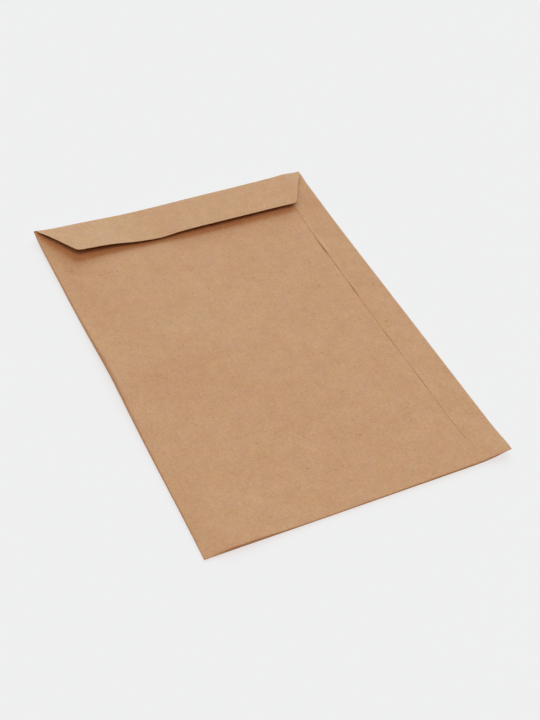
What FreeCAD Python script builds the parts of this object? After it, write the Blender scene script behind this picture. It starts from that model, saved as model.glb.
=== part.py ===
import FreeCAD, Part
import os
from math import asin, atan2, cos, hypot, pi, sin

# A flat pocket envelope, folded and glued from one sheet of kraft paper.
# It lies seam side up: X runs across it, +Y towards the top flap, +Z up from the table.
# The origin is under the middle of the back panel.

# Pocket, in millimetres
WIDTH = 229.0  # side fold to side fold
LENGTH = 324.0  # bottom fold to top fold
PAPER = 0.15  # thickness of the sheet
MOUTH_INSET = 5.0  # top edge of the front, down from the top fold

# Lengthwise seam
SEAM_INSET = 24.5  # free edge of the narrow strip, in from the right side fold
SEAM_LAP = 14.0  # glued lap of the wide front panel under the strip
SEAM_DIP = 6.0  # the wide panel sinks by one paper over this run to pass under the strip

# Bottom flap, glued over the outside of the front
BOTTOM_FLAP_DEPTH = 21.0
BOTTOM_FLAP_SHOULDER = 2.0  # notch at each end of the fold
BOTTOM_FLAP_TAPER = 10.5  # how far each end runs in over the depth
BOTTOM_FLAP_CORNER = 7.5
BOTTOM_GAP = 0.3  # air left between the back and the lap in the closed bottom
CLOSED_MARGIN = 3.0  # pressed flat above the bottom flap's edge

# Height of the front over the table, without the crown
MIDDLE_LEFT_HEIGHT = 4.4
MIDDLE_RIGHT_HEIGHT = 1.4
MOUTH_LEFT_HEIGHT = 2.2
MOUTH_RIGHT_HEIGHT = 2.1
MIDDLE_CROWN = 0.4
MOUTH_CROWN = 0.1

# Top flap, open and folded down over the mouth
TOP_FLAP_DEPTH = 40.0
TOP_FLAP_SHOULDER = 0.6  # notch at each end of the fold
TOP_FLAP_TAPER = 21.5
TOP_FLAP_CORNER = 6.5

# The top fold and the flap are wavy: each row gives the place across the envelope as a
# share of half its width, the height of the fold and the height of the flap's free edge
FLAP_WAVE = (
    (-1.00, 6.2, 14.5),
    (-0.80, 5.6, 13.4),
    (-0.57, 4.5, 11.0),
    (-0.40, 3.5, 7.7),
    (-0.23, 3.4, 5.9),
    (-0.06, 3.6, 7.3),
    (0.20, 4.2, 7.6),
    (0.60, 4.5, 7.6),
    (0.87, 5.0, 7.0),
    (1.00, 4.1, 6.6),
)
FLAP_STATIONS = 25  # sections that carry the wave
POCKET_STATIONS = 9  # sections that carry the swell of the pocket

HALF_WIDTH = WIDTH / 2
BOTTOM = -LENGTH / 2
TOP = LENGTH / 2
MOUTH = TOP - MOUTH_INSET
SEAM_EDGE = HALF_WIDTH - SEAM_INSET
LAP_EDGE = SEAM_EDGE + SEAM_LAP
DIP_START = SEAM_EDGE - SEAM_DIP

# Stack of the closed bottom: back, air, wide panel, strip, and the bottom flap over them
CLOSED_HEIGHT = 3 * PAPER + BOTTOM_GAP
BOTTOM_FOLD_RADIUS = (CLOSED_HEIGHT + PAPER) / 2
CLOSED_START = BOTTOM + BOTTOM_FOLD_RADIUS
CLOSED_END = BOTTOM + BOTTOM_FLAP_DEPTH + CLOSED_MARGIN

# The flat of the back ends short of the side folds, and short of the top fold
BACK_LEFT = -HALF_WIDTH + max(MIDDLE_LEFT_HEIGHT, MOUTH_LEFT_HEIGHT)
BACK_RIGHT = HALF_WIDTH - max(MIDDLE_RIGHT_HEIGHT, MOUTH_RIGHT_HEIGHT)
THROAT_END = TOP - max(fold for _, fold, _ in FLAP_WAVE) / 2 - PAPER

# A cutting solid reaches this far past what it cuts
OVERCUT = 2.0


def line(start, end):
    return Part.LineSegment(FreeCAD.Vector(*start), FreeCAD.Vector(*end)).toShape()


def arc(start, middle, end):
    points = [FreeCAD.Vector(*point) for point in (start, middle, end)]
    return Part.Arc(*points).toShape()


def crowned(start, end, crown):
    """The wide panel across the pocket: bowed up by the crown, or straight where pressed flat."""
    if crown == 0:
        return line(start, end)
    peak = [(a + b) / 2 for a, b in zip(start, end)]
    peak[2] += crown
    return arc(start, peak, end)


def smooth(rows, place):
    """The values at a place between rows that start with their place, on a smooth curve."""
    last = len(rows) - 1
    span = next((i for i in range(last) if place <= rows[i + 1][0]), last - 1)
    start, end = rows[span], rows[span + 1]
    before, after = rows[max(span - 1, 0)], rows[min(span + 2, last)]
    step = end[0] - start[0]
    t = (place - start[0]) / step
    values = []
    for i in range(1, len(start)):
        leave = (end[i] - before[i]) / (end[0] - before[0]) * step
        arrive = (after[i] - start[i]) / (after[0] - start[0]) * step
        rise = end[i] - start[i]
        bend = (leave + arrive - 2 * rise) * t ** 3 + (3 * rise - 2 * leave - arrive) * t ** 2
        values.append(start[i] + leave * t + bend)
    return values


def evenly(start, end, count):
    return [start + (end - start) * i / (count - 1) for i in range(count)]


def pocket_section(y, left, right, crown):
    """The sheet across the pocket at y: from the back's right side up round the narrow strip,
    down one paper to the wide panel, round the left fold, and back along the inside."""
    left_centre = -HALF_WIDTH + left / 2
    right_centre = HALF_WIDTH - right / 2
    left_mid = left / 2
    right_mid = right / 2
    under_strip = right - PAPER
    under_lap = right - 2 * PAPER
    inside_left = left - PAPER
    outer_left = (-HALF_WIDTH, y, left_mid)
    inner_left = (-HALF_WIDTH + PAPER, y, left_mid)
    outer_right = (HALF_WIDTH, y, right_mid)
    inner_right = (HALF_WIDTH - PAPER, y, right_mid)
    return Part.Wire([
        line((BACK_RIGHT, y, 0), (right_centre, y, 0)),
        arc((right_centre, y, 0), outer_right, (right_centre, y, right)),
        line((right_centre, y, right), (SEAM_EDGE, y, right)),
        line((SEAM_EDGE, y, right), (SEAM_EDGE, y, under_strip)),
        line((SEAM_EDGE, y, under_strip), (DIP_START, y, right)),
        crowned((DIP_START, y, right), (left_centre, y, left), crown),
        arc((left_centre, y, left), outer_left, (left_centre, y, 0)),
        line((left_centre, y, 0), (BACK_LEFT, y, 0)),
        line((BACK_LEFT, y, 0), (BACK_LEFT, y, PAPER)),
        line((BACK_LEFT, y, PAPER), (left_centre, y, PAPER)),
        arc((left_centre, y, PAPER), inner_left, (left_centre, y, inside_left)),
        crowned((left_centre, y, inside_left), (DIP_START, y, under_strip), crown),
        line((DIP_START, y, under_strip), (SEAM_EDGE, y, under_lap)),
        line((SEAM_EDGE, y, under_lap), (LAP_EDGE, y, under_lap)),
        line((LAP_EDGE, y, under_lap), (LAP_EDGE, y, under_strip)),
        line((LAP_EDGE, y, under_strip), (right_centre, y, under_strip)),
        arc((right_centre, y, under_strip), inner_right, (right_centre, y, PAPER)),
        line((right_centre, y, PAPER), (BACK_RIGHT, y, PAPER)),
        line((BACK_RIGHT, y, PAPER), (BACK_RIGHT, y, 0)),
    ])


def pocket():
    """Side folds, wide front panel and narrow strip: a tube pressed flat at its foot."""
    closed = (CLOSED_HEIGHT, CLOSED_HEIGHT, 0.0)
    middle = (MIDDLE_LEFT_HEIGHT, MIDDLE_RIGHT_HEIGHT, MIDDLE_CROWN)
    mouth = (MOUTH_LEFT_HEIGHT, MOUTH_RIGHT_HEIGHT, MOUTH_CROWN)
    halfway = (CLOSED_END + MOUTH) / 2
    swell = ((CLOSED_END, *closed), (halfway, *middle), (MOUTH, *mouth))
    stations = [(CLOSED_START, closed)]
    stations += [(y, smooth(swell, y)) for y in evenly(CLOSED_END, MOUTH, POCKET_STATIONS)]
    return Part.makeLoft([pocket_section(y, *heights) for y, heights in stations], True, True)


def back():
    """The back panel between the side folds, and its full width above the mouth."""
    panel = Part.makeBox(BACK_RIGHT - BACK_LEFT, THROAT_END - CLOSED_START, PAPER,
                         FreeCAD.Vector(BACK_LEFT, CLOSED_START, 0))
    throat = Part.makeBox(WIDTH, THROAT_END - MOUTH, PAPER, FreeCAD.Vector(-HALF_WIDTH, MOUTH, 0))
    return panel.fuse(throat)


def tapered_outline(fold_y, foot, depth, shoulder, taper, corner, towards):
    """A flap seen from above: a short straight foot up to its fold, ends that run in, and
    rounded free corners."""
    foot_y = fold_y - towards * foot
    edge_y = fold_y + towards * depth
    base = HALF_WIDTH - shoulder
    tip = base - taper
    slant = atan2(depth, taper)
    setback = corner * sin((pi - slant) / 2) / cos((pi - slant) / 2)
    run_x = setback * cos(slant)
    run_y = setback * sin(slant) * towards
    centre_x = tip - setback
    centre_y = edge_y - corner * towards
    half_turn = slant / 2
    bow_x = centre_x + corner * sin(half_turn)
    bow_y = centre_y + corner * cos(half_turn) * towards

    def right(x, y):
        return (x, y, 0)

    def left(x, y):
        return (-x, y, 0)

    return Part.Wire([
        line(left(base, foot_y), right(base, foot_y)),
        line(right(base, foot_y), right(base, fold_y)),
        line(right(base, fold_y), right(tip + run_x, edge_y - run_y)),
        arc(right(tip + run_x, edge_y - run_y), right(bow_x, bow_y), right(centre_x, edge_y)),
        line(right(centre_x, edge_y), left(centre_x, edge_y)),
        arc(left(centre_x, edge_y), left(bow_x, bow_y), left(tip + run_x, edge_y - run_y)),
        line(left(tip + run_x, edge_y - run_y), left(base, fold_y)),
        line(left(base, fold_y), left(base, foot_y)),
    ])


def bottom_flap():
    """The bottom fold round the raw edges of the front, and the flap glued over them."""
    radius = BOTTOM_FOLD_RADIUS
    width = WIDTH - CLOSED_HEIGHT
    start = FreeCAD.Vector(-width / 2, CLOSED_START, radius)
    across = FreeCAD.Vector(1, 0, 0)
    fold = Part.makeCylinder(radius, width, start, across)
    fold = fold.cut(Part.makeCylinder(radius - PAPER, width, start, across))
    front_side = FreeCAD.Vector(-HALF_WIDTH, CLOSED_START, 0)
    fold = fold.cut(Part.makeBox(WIDTH, radius, 2 * radius, front_side))
    for side in (-1, 1):
        notch_x = side * HALF_WIDTH - BOTTOM_FLAP_SHOULDER
        notch = FreeCAD.Vector(notch_x, CLOSED_START - radius, radius)
        fold = fold.cut(Part.makeBox(2 * BOTTOM_FLAP_SHOULDER, radius, radius, notch))

    outline = tapered_outline(BOTTOM + radius + PAPER, PAPER, BOTTOM_FLAP_DEPTH - radius - PAPER,
                              BOTTOM_FLAP_SHOULDER, BOTTOM_FLAP_TAPER, BOTTOM_FLAP_CORNER, 1)
    flap = Part.Face(outline).extrude(FreeCAD.Vector(0, 0, PAPER))
    flap.translate(FreeCAD.Vector(0, 0, CLOSED_HEIGHT))
    return fold.fuse(flap)


def flap_section(x, fold_height, edge_height):
    """The top fold at x: out along the back, round the fold and down the sloping flap."""
    radius = fold_height / 2
    centre_y = TOP - radius
    reach = TOP_FLAP_DEPTH - radius
    rise = edge_height - radius
    slope = atan2(rise, reach) - asin(radius / hypot(rise, reach))
    turn = pi - slope
    length = reach / cos(slope) + OVERCUT
    inner = radius - PAPER

    def on_fold(distance, angle):
        return (x, centre_y + distance * sin(angle), radius - distance * cos(angle))

    def along_flap(distance):
        _, y, z = on_fold(distance, turn)
        return (x, y - length * cos(slope), z + length * sin(slope))

    return Part.Wire([
        line((x, THROAT_END, 0), (x, centre_y, 0)),
        arc((x, centre_y, 0), on_fold(radius, turn / 2), on_fold(radius, turn)),
        line(on_fold(radius, turn), along_flap(radius)),
        line(along_flap(radius), along_flap(inner)),
        line(along_flap(inner), on_fold(inner, turn)),
        arc(on_fold(inner, turn), on_fold(inner, turn / 2), (x, centre_y, PAPER)),
        line((x, centre_y, PAPER), (x, THROAT_END, PAPER)),
        line((x, THROAT_END, PAPER), (x, THROAT_END, 0)),
    ])


def top_flap():
    """The wavy top fold and the open flap, cut to its tapered outline from mid-fold up."""
    sections = [flap_section(share * HALF_WIDTH, *smooth(FLAP_WAVE, share))
                for share in evenly(-1, 1, FLAP_STATIONS)]
    sheet = Part.makeLoft(sections, True, True)

    mid_fold = min(fold for _, fold, _ in FLAP_WAVE) / 2
    clear = FreeCAD.Vector(0, 0, 2 * max(edge for _, _, edge in FLAP_WAVE))
    outline = tapered_outline(TOP, OVERCUT, TOP_FLAP_DEPTH, TOP_FLAP_SHOULDER,
                              TOP_FLAP_TAPER, TOP_FLAP_CORNER, -1)
    kept = Part.Face(outline).extrude(clear)
    around = Part.makeBox(WIDTH + 2 * OVERCUT, TOP_FLAP_DEPTH + 3 * OVERCUT, clear.z,
                          FreeCAD.Vector(-HALF_WIDTH - OVERCUT, TOP - TOP_FLAP_DEPTH - 2 * OVERCUT))
    waste = around.cut(kept)
    waste.translate(FreeCAD.Vector(0, 0, mid_fold))
    return sheet.cut(waste)


def envelope():
    sheet = back().fuse([pocket(), bottom_flap(), top_flap()])
    return sheet.removeSplitter()


def main():
    os.makedirs("parts", exist_ok=True)
    shape = envelope()
    solid = shape.Solids[0]
    print("solids", len(shape.Solids), "valid", shape.isValid(), "volume", round(shape.Volume, 1))
    box = shape.BoundBox
    print("box", [round(v, 3) for v in (box.XMin, box.XMax, box.YMin, box.YMax, box.ZMin, box.ZMax)])
    solid.exportStep("parts/envelope_sheet.step")


main()
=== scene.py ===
"""A kraft paper pocket envelope on a pale table, seam side up, its open flap folded over the mouth."""

import math

import bmesh
import bpy
import numpy as np
from mathutils import Matrix, Vector


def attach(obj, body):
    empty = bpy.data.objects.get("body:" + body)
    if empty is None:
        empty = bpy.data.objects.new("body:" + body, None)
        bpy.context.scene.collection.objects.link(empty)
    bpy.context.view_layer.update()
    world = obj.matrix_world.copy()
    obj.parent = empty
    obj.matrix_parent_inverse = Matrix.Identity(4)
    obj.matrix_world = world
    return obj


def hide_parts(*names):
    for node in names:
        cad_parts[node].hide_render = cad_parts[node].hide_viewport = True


MM = 0.001

# The sheet, in millimetres: X across, Y towards the top flap, Z up from the table
WIDTH = 229.0
LENGTH = 324.0
PAPER = 0.15
MOUTH_INSET = 5.0
SEAM_INSET = 24.5
SEAM_LAP = 14.0
SEAM_DIP = 6.0
SEAM_FREE = 4.0  # width of the strip's unglued edge
LAYER_GAP = 0.02  # between one layer and the next in a lap
BOTTOM_FOLD = 0.4  # reach of the bottom fold past the raw edges of the front
BOTTOM_FOLD_LEAN = 2.4  # 1 for a round fold, more where its crest is nearer the top
BOTTOM_FLAP_DEPTH = 21.0
BOTTOM_FLAP_SHOULDER = 2.0
BOTTOM_FLAP_TAPER = 10.5
BOTTOM_FLAP_CORNER = 7.5
TOP_FLAP_DEPTH = 40.0
TOP_FLAP_ENDS = ((2.4, 19.7, 4.5), (0.6, 21.5, 6.5))  # left, right: shoulder, taper, corner
TOP_FOLD_RADIUS = 2.0  # a middle value, for the spacing and the width of the flap's rows
SHOULDER_RUN = 0.07  # share of the flap's run over which its fold draws in to the shoulders
INNER_WIDTH = 0.985  # share of the width that the inner columns of the top fold and flap take
WELD_REACH = 0.02  # points of neighbouring areas that lie closer than this become one
AREA_SPACING = 700.0  # between one area and the next in the plane of the texture

HALF = WIDTH / 2
TOP = LENGTH / 2
BOTTOM = -TOP
MOUTH = TOP - MOUTH_INSET
SEAM_EDGE = HALF - SEAM_INSET
LAP_EDGE = SEAM_EDGE + SEAM_LAP
DIP_START = SEAM_EDGE - SEAM_DIP
POCKET_START = BOTTOM + BOTTOM_FOLD

# Widths of the zones with a finer mesh: above the bottom fold, below the mouth, by the left fold
BOTTOM_ZONE = 24.0
MOUTH_ZONE = 20.0
LEFT_ZONE = 12.0

# Height of the side folds along the envelope: rows of (y, height)
LEFT_FOLD = (
    (BOTTOM, 0.8), (-135, 1.8), (-105, 2.2), (-70, 2.5), (-40, 3.3), (-18, 4.2), (0, 5.0),
    (20, 4.6), (42, 3.6), (70, 3.0), (110, 2.7), (135, 2.3), (148, 2.2), (MOUTH, 0.9),
)
RIGHT_FOLD = (
    (BOTTOM, 2.3), (-130, 2.1), (-70, 1.8), (0, 1.3), (70, 1.5), (110, 1.6), (135, 2.3), (MOUTH, 1.6),
)
PRESSED_FOLDS = (0.8, 1.2)  # left, right: height at which the envelope has its full width

# Crown of the wide panel between its ends, and the stretch above the bottom edge where it grows
CROWN = 0.15
CROWN_START = 20.0
CROWN_RUN = 60.0

# Height of the top fold and of the flap's free edge across the envelope: rows of (x, height)
TOP_FOLD = (
    (-HALF, 0.6), (-110, 1.6), (-106, 3.1), (-102, 4.2), (-96, 4.6), (-88, 4.6), (-65, 3.9),
    (-46, 3.2), (-26, 3.2), (-7, 3.7), (23, 4.4), (69, 4.2), (90, 4.1), (98, 4.6), (102, 4.1),
    (106, 2.7), (110, 1.3), (HALF, 0.6),
)
FLAP_EDGE = (
    (-91, 11.6), (-65, 10.1), (-46, 7.3), (-26, 5.7), (-7, 7.2), (23, 7.5), (69, 7.0), (92, 6.1),
)

# Places where the sheet stands off the table: x, y, reach in x, reach in y, height
LIFTS = (
    (-HALF, TOP, 60, 60, 1.75),
    (-HALF, TOP, 9, 9, 4.4),
    (HALF, TOP, 50, 50, 1.5),
    (HALF, TOP, 9, 9, 1.9),
    (-HALF, BOTTOM, 50, 50, 0.3),
    (HALF, BOTTOM, 16, 14, 2.6),
    (-HALF, 0, 40, 70, 0.7),
    (HALF, 0, 40, 70, 0.2),
)

# Swells of the front panel alone, in the same form
SWELLS = (
    (-76, 95, 34, 60, 2.6),
    (-85, -30, 28, 35, -0.8),
    (0, -42, 35, 28, 0.8),
    (-42, 14, 20, 34, 0.9),
    (-92, -166, 34, 28, 2.2),
)
SWELL_FADES = (18, 30)  # distances over which they fade out: at the left fold, and at the seam's dip

# Right bottom corner, pressed flat from below: the same form, with the share of its height
PINCHES = ((HALF, BOTTOM, 9, 9, 0.75),)

# The same corner, drawn in towards the middle as it curls up: the same form, with the distance
TUCKS = ((HALF, BOTTOM, 14, 8, 1.1),)

# Free edge of the strip, standing off the wide panel: rows of (y, height)
SEAM_LIFT = (
    (BOTTOM, 0), (-120, 0), (-95, 0.02), (-82, 0.15), (-70, 0.03), (-58, 0), (-47, 0.03),
    (-40, 0.2), (-32, 0.06), (-24, 0), (-8, 0.02), (-2, 0.08), (4, 0.02), (12, 0.03), (20, 0.5),
    (26, 0.15), (31, 0.04), (40, 0.05), (49, 0.24), (54, 0.08), (60, 0.05), (66, 0.35),
    (70, 0.75), (76, 0.42), (84, 0.15), (94, 0.02), (112, 0.03), (MOUTH, 0.03),
)

# How far the seam strays from its straight line, towards the right fold: rows of (y, drift)
SEAM_DRIFT = (
    (BOTTOM, 0), (-135, 0), (-110, -0.6), (-80, -0.3), (-50, -0.5), (-10, -0.5), (20, 0), (50, 0.25),
    (80, 0.3), (98, 0.7), (115, 0.9), (MOUTH, 0.9),
)
DRIFT_REACH = 10.0  # distance from the seam over which the layers go along with it

# Paper colours, and how far a change of tone goes in each of red, green and blue
PAPER_COLOUR = (0.530, 0.308, 0.166)
PAPER_EDGE_COLOUR = (0.72, 0.50, 0.34)
TONE = (0.83, 0.76, 0.63)
HUE_SPREAD = (0.03, 0.03, 0.03)

# Clouds, mottle and fibre grain: cells in each metre, detail, strength in the tone
GRAIN = ((45, 2, 0.05), (140, 2, 0.06), (420, 2, 0.10), (1300, 1, 0.20))
HUE_CELLS = 90
BUMP_CELLS = 900
BUMP_DEPTH = 0.05  # millimetres

# Dark shives, dark specks and pale fibres: spacing, length, width and bend in millimetres, share of
# the cells that have one, shift of the cells in metres, strength in the tone
MARKS = (
    (13, 3.4, 0.6, 0.25, 0.11, 0.3, -0.34),
    (10, 1.0, 0.7, 0.0, 0.14, 0.7, -0.38),
    (12, 4.0, 0.3, 0.6, 0.25, 1.1, 0.12),
)
SHORTEST_MARK = 0.3  # share of the given length

# Lamps: azimuth from +Y towards +X, elevation and angular size in degrees, and the level of red,
# green and blue light on what lies flat
LAMPS = {
    "window": (32, 35, 60, (0.395, 0.605, 0.745)),
    "overhead": (190, 67, 40, (0.44, 0.286, 0.195)),
    "side": (290, 30, 50, (0.065, 0.055, 0.05)),
}
WORLD_FILL = (0.10, 0.07, 0.05)
BACKDROP = (0.863, 0.863, 0.863)
FLOOR_EVENNESS = 0.78  # share of the floor's look that takes no shadow, as on a washed-out sweep
FLOOR_REACH = 3.0  # metres from the middle to each side


def curve(rows, place):
    """A smooth curve through rows of (place, value), level past its ends."""
    xs = np.array([row[0] for row in rows], float)
    ys = np.array([row[1] for row in rows], float)
    x = np.clip(np.asarray(place, float), xs[0], xs[-1])
    slope = np.empty(len(xs))
    slope[1:-1] = (ys[2:] - ys[:-2]) / (xs[2:] - xs[:-2])
    slope[0] = (ys[1] - ys[0]) / (xs[1] - xs[0])
    slope[-1] = (ys[-1] - ys[-2]) / (xs[-1] - xs[-2])
    i = np.clip(np.searchsorted(xs, x, side="right") - 1, 0, len(xs) - 2)
    h = xs[i + 1] - xs[i]
    t = (x - xs[i]) / h
    level = ys[i] * (2 * t**3 - 3 * t**2 + 1) + ys[i + 1] * (3 * t**2 - 2 * t**3)
    lean = slope[i] * (t**3 - 2 * t**2 + t) + slope[i + 1] * (t**3 - t**2)
    return level + h * lean


def smoothstep(t):
    """From 0 at t = 0 to 1 at t = 1, level at both ends and past them."""
    t = np.clip(t, 0, 1)
    return t * t * (3 - 2 * t)


def mounds(rows, x, y):
    """Height at (x, y) of smooth round mounds, one for each row."""
    z = 0.0
    for x0, y0, reach_x, reach_y, height in rows:
        z = z + height * np.exp(-(((x - x0) / reach_x) ** 2) - ((y - y0) / reach_y) ** 2)
    return z


def lift(x, y):
    """How far the sheet stands off the table at (x, y)."""
    return mounds(LIFTS, x, y)


def rows_between(start, end, step):
    """Even places from start to end, about one step apart."""
    return np.linspace(start, end, max(2, int(round(abs(end - start) / step)) + 1))


def joined(*parts):
    """One run of places from several, without the repeated ends."""
    return np.concatenate([parts[0]] + [part[1:] for part in parts[1:]])


# Columns of the back from its right fold at 0 to its left fold at 1, closer together by the folds
BACK_COLUMNS = joined(np.linspace(0, 0.06, 7), np.linspace(0.06, 0.94, 61), np.linspace(0.94, 1, 7))


def side_shift(height, pressed):
    """How far a side fold draws in as it bulges from its pressed height, the sheet's length across
    staying the same."""
    return (math.pi / 2 - 1) / 2 * (height - pressed)


def left_places(y):
    """x and height of the left fold's tangent line at y."""
    height = curve(LEFT_FOLD, y)
    return -HALF + side_shift(height, PRESSED_FOLDS[0]) + height / 2, height


def right_places(y):
    """The same for the right fold."""
    height = curve(RIGHT_FOLD, y)
    return HALF - side_shift(height, PRESSED_FOLDS[1]) - height / 2, height


def front_height(x, y):
    """Middle of the front's outer layer above the back's underside, before the lifts: level
    with the strip from where the wide panel starts to dip under it."""
    left_x, left = left_places(y)
    right = curve(RIGHT_FOLD, y)
    t = np.clip((x - left_x) / (DIP_START - left_x), 0, 1)
    crown = CROWN * smoothstep((y - BOTTOM - CROWN_START) / CROWN_RUN)
    fade = smoothstep((x - left_x) / SWELL_FADES[0]) * smoothstep((DIP_START - x) / SWELL_FADES[1])
    z = left + (right - left) * t + crown * 4 * t * (1 - t) + mounds(SWELLS, x, y) * fade
    return z - PAPER / 2


def half_turn(x, radius, height, side, steps):
    """Points round a side fold between its tangent lines: down round the right fold, where side is
    1, and up round the left fold, where it is -1."""
    turn = np.linspace(side * math.pi / 2, -side * math.pi / 2, steps)[1:-1]
    return [(x + side * radius * math.cos(a), height / 2 + radius * math.sin(a)) for a in turn]


def pocket_grid():
    """The tube: strip, right fold, back, left fold, wide panel and its hidden lap, row by row."""
    zone_top = BOTTOM + BOTTOM_ZONE
    zone_left = -HALF + LEFT_ZONE
    free_end = SEAM_EDGE + SEAM_FREE
    ys = joined(
        rows_between(POCKET_START, zone_top, 1.6),
        rows_between(zone_top, MOUTH - MOUTH_ZONE, 3.0),
        rows_between(MOUTH - MOUTH_ZONE, MOUTH, 2.0),
    )
    grid = []
    for y in ys:
        left_x, left = left_places(y)
        right_x, right = right_places(y)
        strip_x = joined(rows_between(SEAM_EDGE, free_end, 0.8),
                         free_end + (right_x - free_end) * np.linspace(0, 1, 9))
        rise = curve(SEAM_LIFT, y) * (1 - smoothstep((strip_x - SEAM_EDGE) / SEAM_FREE))
        strip = list(zip(strip_x, right - PAPER / 2 + rise))
        right_arc = half_turn(right_x, (right - PAPER) / 2, right, 1, 11)
        back = [(x, PAPER / 2) for x in right_x + (left_x - right_x) * BACK_COLUMNS]
        left_arc = half_turn(left_x, (left - PAPER) / 2, left, -1, 13)
        panel_x = joined(left_x + (zone_left - left_x) * np.linspace(0, 1, 9),
                         rows_between(zone_left, DIP_START, 3.0),
                         rows_between(DIP_START, SEAM_EDGE, 1.0),
                         rows_between(SEAM_EDGE, LAP_EDGE, 3.5))
        dip = (PAPER + LAYER_GAP) * smoothstep((panel_x - DIP_START) / SEAM_DIP)
        panel = list(zip(panel_x, front_height(panel_x, y) - dip))
        x, z = np.array(strip + right_arc + back + left_arc + panel).T
        z = z + mounds(PINCHES, x, y) * (right - PAPER / 2 - z)
        x = x + curve(SEAM_DRIFT, y) * np.exp(-(((x - SEAM_EDGE) / DRIFT_REACH) ** 2))
        grid.append(np.column_stack([x, np.full(len(x), y), z]))
    grid = np.array(grid)
    grid[..., 2] += lift(grid[..., 0], grid[..., 1])
    grid[..., 0] -= mounds(TUCKS, grid[..., 0], grid[..., 1])
    return grid


def flap_width(depth, full, shoulder, taper, corner):
    """Half width of a tapered flap at each distance from its fold, corners rounded."""
    base = HALF - shoulder
    slant = math.atan2(full, taper)
    setback = corner / math.tan((math.pi - slant) / 2)
    arc_start = full - setback * math.sin(slant)
    straight = base - taper * depth / full
    inside = np.clip((depth - (full - corner)) / corner, -1, 1)
    rounded = base - taper - setback + corner * np.sqrt(1 - inside**2)
    return np.where(depth < arc_start, straight, rounded)


def top_rows():
    """Shares of the flap's run from the foot of its fold to its free edge, and the length of the
    fold's arc and of the whole run at its middle radius."""
    arc = math.pi * TOP_FOLD_RADIUS
    total = arc + TOP_FLAP_DEPTH - TOP_FOLD_RADIUS
    fold = np.linspace(0, arc / total, 15)
    corner = max(end[2] for end in TOP_FLAP_ENDS)
    flat = np.linspace(arc / total, 1 - corner / total, 14)
    tip = 1 - corner / total * (1 - np.sin(np.linspace(0, math.pi / 2, 13)))
    return joined(fold, flat, tip), arc, total


def flap_point(x, share):
    """y and z of the flap's middle surface at each share of its run."""
    fold = curve(TOP_FOLD, x)
    edge = curve(FLAP_EDGE, x)
    radius = fold / 2
    run = TOP_FLAP_DEPTH - radius
    rise = edge - radius
    slope = np.arctan2(rise, run) - np.arcsin(radius / np.hypot(rise, run))
    arc = radius * (math.pi - slope)
    travelled = share * (arc + run)
    angle = np.minimum(travelled, arc) / radius
    beyond = np.maximum(travelled - arc, 0)
    middle = radius - PAPER / 2
    y = TOP - radius + middle * np.sin(angle) - beyond * np.cos(slope)
    z = radius - middle * np.cos(angle) + beyond * np.sin(slope)
    return y, z


def top_grid():
    """The back above the mouth, the top fold and the flap."""
    left_x, _ = left_places(MOUTH)
    right_x, _ = right_places(MOUTH)
    mouth_x = np.concatenate([[HALF], right_x + (left_x - right_x) * BACK_COLUMNS, [-HALF]])
    across = np.concatenate([[1.0], (1 - 2 * BACK_COLUMNS) * INNER_WIDTH, [-1.0]])
    fold_x = HALF * across
    foot_y, _ = flap_point(fold_x, 0.0)
    grid = []
    for t in np.linspace(0, 1, 4)[:-1]:
        x = mouth_x + (fold_x - mouth_x) * t
        y = MOUTH + (foot_y - MOUTH) * t
        z = PAPER / 2 + lift(x, MOUTH + (TOP - MOUTH) * t)
        grid.append(np.column_stack([x, y, z]))
    shares, arc, total = top_rows()
    for share in shares:
        depth = np.clip(share * total - arc + TOP_FOLD_RADIUS, 0, TOP_FLAP_DEPTH)
        widths = [flap_width(depth, TOP_FLAP_DEPTH, *end) for end in TOP_FLAP_ENDS]
        draw_in = (np.where(across < 0, *widths) - HALF) * smoothstep(share / SHOULDER_RUN)
        x = across * (HALF + draw_in)
        y, z = flap_point(x, share)
        grid.append(np.column_stack([x, y, z + lift(x, TOP)]))
    return np.array(grid)


def bottom_grid():
    """The bottom fold round the raw edges of the front, and the flap glued over it."""
    left_x, _ = left_places(POCKET_START)
    right_x, _ = right_places(POCKET_START)
    start_x = right_x + (left_x - right_x) * BACK_COLUMNS
    across = start_x / HALF
    front = front_height(start_x, POCKET_START)
    # Height over all the layers, the flap's own included
    stack = front + 1.5 * PAPER
    radius = (stack - PAPER) / 2
    grid = []
    for part in np.linspace(0, 1, 13):
        reach = BOTTOM_FOLD * math.sin(math.pi * part**BOTTOM_FOLD_LEAN)
        y = np.full(len(start_x), POCKET_START - reach)
        z = stack / 2 - radius * math.cos(math.pi * part)
        # The shoulders of the flap draw in over the middle of the fold
        draw_in = smoothstep((part - 0.3) / 0.4)
        x = start_x + (across * (HALF - BOTTOM_FLAP_SHOULDER) - start_x) * draw_in
        z = z + mounds(PINCHES, x, y) * (front + part * PAPER - z)
        grid.append(np.column_stack([x, y, z + lift(x, BOTTOM)]))
    full = BOTTOM_FLAP_DEPTH - BOTTOM_FOLD
    depths = joined(np.linspace(0, full - BOTTOM_FLAP_CORNER, 10),
                    full - BOTTOM_FLAP_CORNER * (1 - np.sin(np.linspace(0, math.pi / 2, 9))))
    for depth in depths[1:]:
        half = flap_width(depth, full, BOTTOM_FLAP_SHOULDER, BOTTOM_FLAP_TAPER, BOTTOM_FLAP_CORNER)
        x = across * half
        y = POCKET_START + depth
        z = front_height(x, y) + PAPER + LAYER_GAP + lift(x, y)
        grid.append(np.column_stack([x, np.full(len(x), y), z]))
    grid = np.array(grid)
    grid[..., 0] -= mounds(TUCKS, grid[..., 0], grid[..., 1])
    return grid


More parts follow.
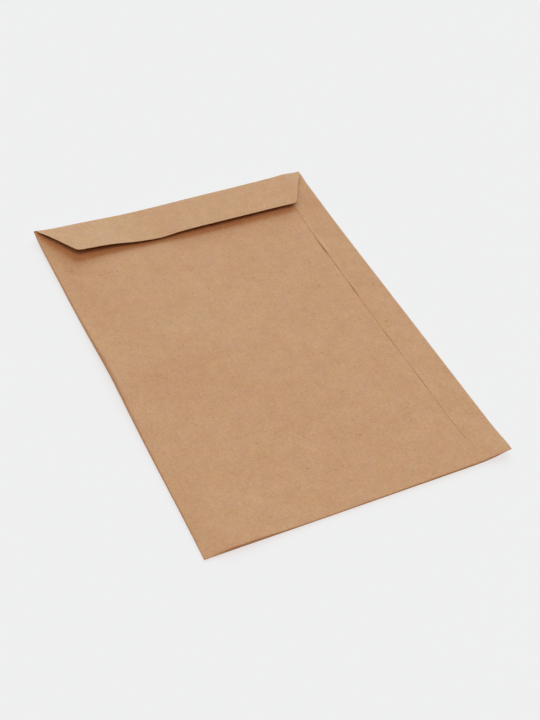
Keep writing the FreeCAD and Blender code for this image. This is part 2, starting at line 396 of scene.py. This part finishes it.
def sheet_mesh(name):
    """The middle surface of the whole sheet, with its flat blank as the texture's plane."""
    mesh = bpy.data.meshes.new(name)
    bm = bmesh.new()
    uv_layer = bm.loops.layers.uv.new("sheet")
    blanks = {}
    for index, grid in enumerate((pocket_grid(), top_grid(), bottom_grid())):
        rows, columns, _ = grid.shape
        verts = [[bm.verts.new(point * MM) for point in row] for row in grid]
        step = np.linalg.norm(np.diff(grid, axis=1), axis=2)
        across = np.concatenate([np.zeros((rows, 1)), np.cumsum(step, axis=1)], axis=1)
        across -= across[:, columns // 2:columns // 2 + 1]
        run = np.linalg.norm(np.diff(grid, axis=0), axis=2).mean(axis=1)
        along = np.concatenate([[0], np.cumsum(run)])
        for i in range(rows):
            for j in range(columns):
                blanks[verts[i][j]] = (across[i, j] + AREA_SPACING * index, along[i])
        for i in range(rows - 1):
            for j in range(columns - 1):
                corners = (verts[i][j], verts[i][j + 1], verts[i + 1][j + 1], verts[i + 1][j])
                face = bm.faces.new(corners)
                for loop in face.loops:
                    u, v = blanks[loop.vert]
                    loop[uv_layer].uv = (u * MM, v * MM)
    bmesh.ops.remove_doubles(bm, verts=bm.verts, dist=WELD_REACH * MM)
    bmesh.ops.recalc_face_normals(bm, faces=bm.faces)
    bm.to_mesh(mesh)
    bm.free()
    return mesh


def envelope():
    """The sheet at its real thickness; the cut edges take the second material."""
    piece = bpy.data.objects.new("envelope", sheet_mesh("envelope"))
    bpy.context.scene.collection.objects.link(piece)
    thick = piece.modifiers.new("paper", "SOLIDIFY")
    thick.thickness = PAPER * MM
    thick.offset = 0
    thick.use_even_offset = True
    thick.material_offset_rim = 1
    depsgraph = bpy.context.evaluated_depsgraph_get()
    solid = bpy.data.meshes.new_from_object(piece.evaluated_get(depsgraph))
    piece.modifiers.clear()
    piece.data = solid
    solid.shade_smooth()
    solid.set_sharp_from_angle(angle=math.radians(35))
    return piece


def socket(node, name, value):
    node.inputs[name].default_value = value


def matte(name):
    """A matte paper material, and its shader."""
    material = bpy.data.materials.new(name)
    material.use_nodes = True
    shader = material.node_tree.nodes["Principled BSDF"]
    socket(shader, "Roughness", 0.85)
    socket(shader, "Specular IOR Level", 0.1)
    return material, shader


def paper_edge(name):
    """The cut edges of the paper, in one even colour."""
    material, shader = matte(name)
    socket(shader, "Base Color", (*PAPER_EDGE_COLOUR, 1))
    return material


def kraft(name):
    """Kraft paper: clouded and finely grained, with dark shives, dark specks and pale fibres."""
    material, shader = matte(name)
    nodes = material.node_tree.nodes
    link = material.node_tree.links.new
    place = nodes.new("ShaderNodeUVMap")
    place.uv_map = "sheet"

    def node(kind, operation=None):
        made = nodes.new("ShaderNode" + kind)
        if operation:
            made.operation = operation
        return made

    def feed(target, value):
        if isinstance(value, bpy.types.NodeSocket):
            link(value, target)
        else:
            target.default_value = value

    def calc(operation, a, b=0.0):
        made = node("Math", operation)
        feed(made.inputs[0], a)
        feed(made.inputs[1], b)
        return made.outputs[0]

    def vector(operation, a, b=None, scale=None):
        made = node("VectorMath", operation)
        feed(made.inputs[0], a)
        if b is not None:
            feed(made.inputs[1], b)
        if scale is not None:
            feed(made.inputs["Scale"], scale)
        return made.outputs[0]

    def noise(scale, detail, output="Fac"):
        made = node("TexNoise")
        made.noise_dimensions = "2D"
        socket(made, "Scale", scale)
        socket(made, "Detail", detail)
        link(place.outputs["UV"], made.inputs["Vector"])
        return made.outputs[output]

    def marks(spacing, length, width, bend, share, shift):
        """Small curved marks, at most one in each cell of the given spacing, turned at random."""
        moved = vector("ADD", place.outputs["UV"], (shift, shift, 0))
        cells = node("TexVoronoi")
        cells.voronoi_dimensions = "2D"
        socket(cells, "Scale", 1 / (spacing * MM))
        socket(cells, "Randomness", 0.8)
        link(moved, cells.inputs["Vector"])
        place_in = vector("SUBTRACT", moved, cells.outputs["Position"])
        parts = node("SeparateColor")
        link(cells.outputs["Color"], parts.inputs[0])
        turn = node("VectorRotate")
        turn.rotation_type = "Z_AXIS"
        link(place_in, turn.inputs["Vector"])
        feed(turn.inputs["Angle"], calc("MULTIPLY", parts.outputs[0], 2 * math.pi))
        split = node("SeparateXYZ")
        link(turn.outputs[0], split.inputs[0])
        size = calc("ADD", calc("MULTIPLY", parts.outputs[2], 1 - SHORTEST_MARK), SHORTEST_MARK)
        along = calc("DIVIDE", calc("DIVIDE", split.outputs[0], size), length / 2 * MM)
        curl = calc("MULTIPLY", calc("MULTIPLY", along, along), bend * MM)
        off = calc("DIVIDE", calc("SUBTRACT", split.outputs[1], curl), width / 2 * MM)
        far = calc("ADD", calc("MULTIPLY", along, along), calc("MULTIPLY", off, off))
        mark = calc("SUBTRACT", 1.0, calc("MINIMUM", far, 1.0))
        kept = calc("LESS_THAN", parts.outputs[1], share)
        return calc("MULTIPLY", mark, kept)

    tone = 0.0
    for cells, detail, strength in GRAIN:
        change = calc("SUBTRACT", noise(cells, detail), 0.5)
        tone = calc("ADD", tone, calc("MULTIPLY", change, strength))
    for *shape, strength in MARKS:
        tone = calc("ADD", tone, calc("MULTIPLY", marks(*shape), strength))
    hue = vector("SUBTRACT", noise(HUE_CELLS, 2, "Color"), (0.5, 0.5, 0.5))
    hue = vector("MULTIPLY", hue, HUE_SPREAD)
    colour = vector("ADD", vector("SCALE", TONE, scale=tone), PAPER_COLOUR)
    link(vector("ADD", colour, hue), shader.inputs["Base Color"])
    bump = node("Bump")
    socket(bump, "Strength", 0.25)
    socket(bump, "Distance", BUMP_DEPTH * MM)
    link(noise(BUMP_CELLS, 2), bump.inputs["Height"])
    link(bump.outputs[0], shader.inputs["Normal"])
    return material


def showing_rays(tree):
    """1 on the rays that show the background: from the camera, or by way of shine or glass."""
    path = tree.nodes.new("ShaderNodeLightPath")
    showing = path.outputs["Is Camera Ray"]
    for name in ("Is Glossy Ray", "Is Transmission Ray"):
        most = tree.nodes.new("ShaderNodeMath")
        most.operation = "MAXIMUM"
        tree.links.new(showing, most.inputs[0])
        tree.links.new(path.outputs[name], most.inputs[1])
        showing = most.outputs[0]
    return showing


def floor():
    """A wide pale table: most of its look is one even colour, and the rest takes the shadow."""
    mesh = bpy.data.meshes.new("table")
    signs = ((-1, -1), (1, -1), (1, 1), (-1, 1))
    corners = [(FLOOR_REACH * x, FLOOR_REACH * y, 0) for x, y in signs]
    mesh.from_pydata(corners, [], [(0, 1, 2, 3)])
    plane = bpy.data.objects.new("table", mesh)
    bpy.context.scene.collection.objects.link(plane)
    material = bpy.data.materials.new("table")
    material.use_nodes = True
    nodes = material.node_tree.nodes
    link = material.node_tree.links.new
    shader = nodes["Principled BSDF"]
    socket(shader, "Base Color", (*BACKDROP, 1))
    socket(shader, "Roughness", 1.0)
    socket(shader, "Specular IOR Level", 0.0)
    glow = nodes.new("ShaderNodeEmission")
    socket(glow, "Color", (*BACKDROP, 1))
    share = nodes.new("ShaderNodeMath")
    share.operation = "MULTIPLY"
    share.inputs[1].default_value = FLOOR_EVENNESS
    link(showing_rays(material.node_tree), share.inputs[0])
    mix = nodes.new("ShaderNodeMixShader")
    link(share.outputs[0], mix.inputs[0])
    link(shader.outputs[0], mix.inputs[1])
    link(glow.outputs[0], mix.inputs[2])
    link(mix.outputs[0], nodes["Material Output"].inputs["Surface"])
    mesh.materials.append(material)


def sun(name, azimuth, elevation, spread, level):
    """A round soft light, as bright as gives the level to what lies flat."""
    azimuth = math.radians(azimuth)
    elevation = math.radians(elevation)
    data = bpy.data.lights.new(name, "SUN")
    data.angle = math.radians(spread)
    peak = max(level)
    data.color = [part / peak for part in level]
    data.energy = peak * math.pi / math.sin(elevation)
    lamp = bpy.data.objects.new(name, data)
    flat = math.cos(elevation)
    towards = Vector((math.sin(azimuth) * flat, math.cos(azimuth) * flat, math.sin(elevation)))
    lamp.rotation_euler = towards.to_track_quat("Z", "Y").to_euler()
    bpy.context.scene.collection.objects.link(lamp)


def light():
    """The lamps, a weak even fill from the world, and the backdrop's colour where the world shows."""
    world = bpy.data.worlds.new("studio")
    bpy.context.scene.world = world
    world.use_nodes = True
    tree = world.node_tree
    fill = tree.nodes["Background"]
    socket(fill, "Color", (*WORLD_FILL, 1))
    backdrop = tree.nodes.new("ShaderNodeBackground")
    socket(backdrop, "Color", (*BACKDROP, 1))
    mix = tree.nodes.new("ShaderNodeMixShader")
    tree.links.new(showing_rays(tree), mix.inputs[0])
    tree.links.new(fill.outputs[0], mix.inputs[1])
    tree.links.new(backdrop.outputs[0], mix.inputs[2])
    tree.links.new(mix.outputs[0], tree.nodes["World Output"].inputs["Surface"])
    for name, settings in LAMPS.items():
        sun(name, *settings)


def camera():
    """The view of the photograph, fitted to the outline of the envelope."""
    azimuth = math.radians(-30.689)
    elevation = math.radians(45.789)
    roll = math.radians(6.62)
    distance = 896.8
    target = Vector((-1.469, -22.363, 0))
    flat = math.cos(elevation)
    back = Vector((math.sin(azimuth) * flat, -math.cos(azimuth) * flat, math.sin(elevation)))
    right = (-back).cross(Vector((0, 0, 1))).normalized()
    up = right.cross(-back)
    rolled_right = math.cos(roll) * right + math.sin(roll) * up
    rolled_up = -math.sin(roll) * right + math.cos(roll) * up
    data = bpy.data.cameras.new("camera")
    data.lens = 62.802
    data.sensor_width = 36.0
    data.clip_start = 0.01
    data.clip_end = 20
    rig = bpy.data.objects.new("camera", data)
    turn = Matrix((rolled_right, rolled_up, back)).transposed().to_4x4()
    rig.matrix_world = Matrix.Translation((target + back * distance) * MM) @ turn
    bpy.context.scene.collection.objects.link(rig)
    bpy.context.scene.camera = rig


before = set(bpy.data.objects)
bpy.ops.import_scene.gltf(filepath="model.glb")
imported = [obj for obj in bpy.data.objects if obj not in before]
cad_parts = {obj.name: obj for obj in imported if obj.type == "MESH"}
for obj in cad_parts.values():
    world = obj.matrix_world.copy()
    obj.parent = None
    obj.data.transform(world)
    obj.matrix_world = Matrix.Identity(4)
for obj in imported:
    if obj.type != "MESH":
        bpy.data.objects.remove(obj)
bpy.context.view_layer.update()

bpy.context.scene.view_settings.view_transform = "Standard"
piece = envelope()
piece.data.materials.clear()
piece.data.materials.append(kraft("kraft_paper"))
piece.data.materials.append(paper_edge("kraft_paper_edge"))
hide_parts("envelope_sheet")
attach(piece, "root")
floor()
light()
camera()
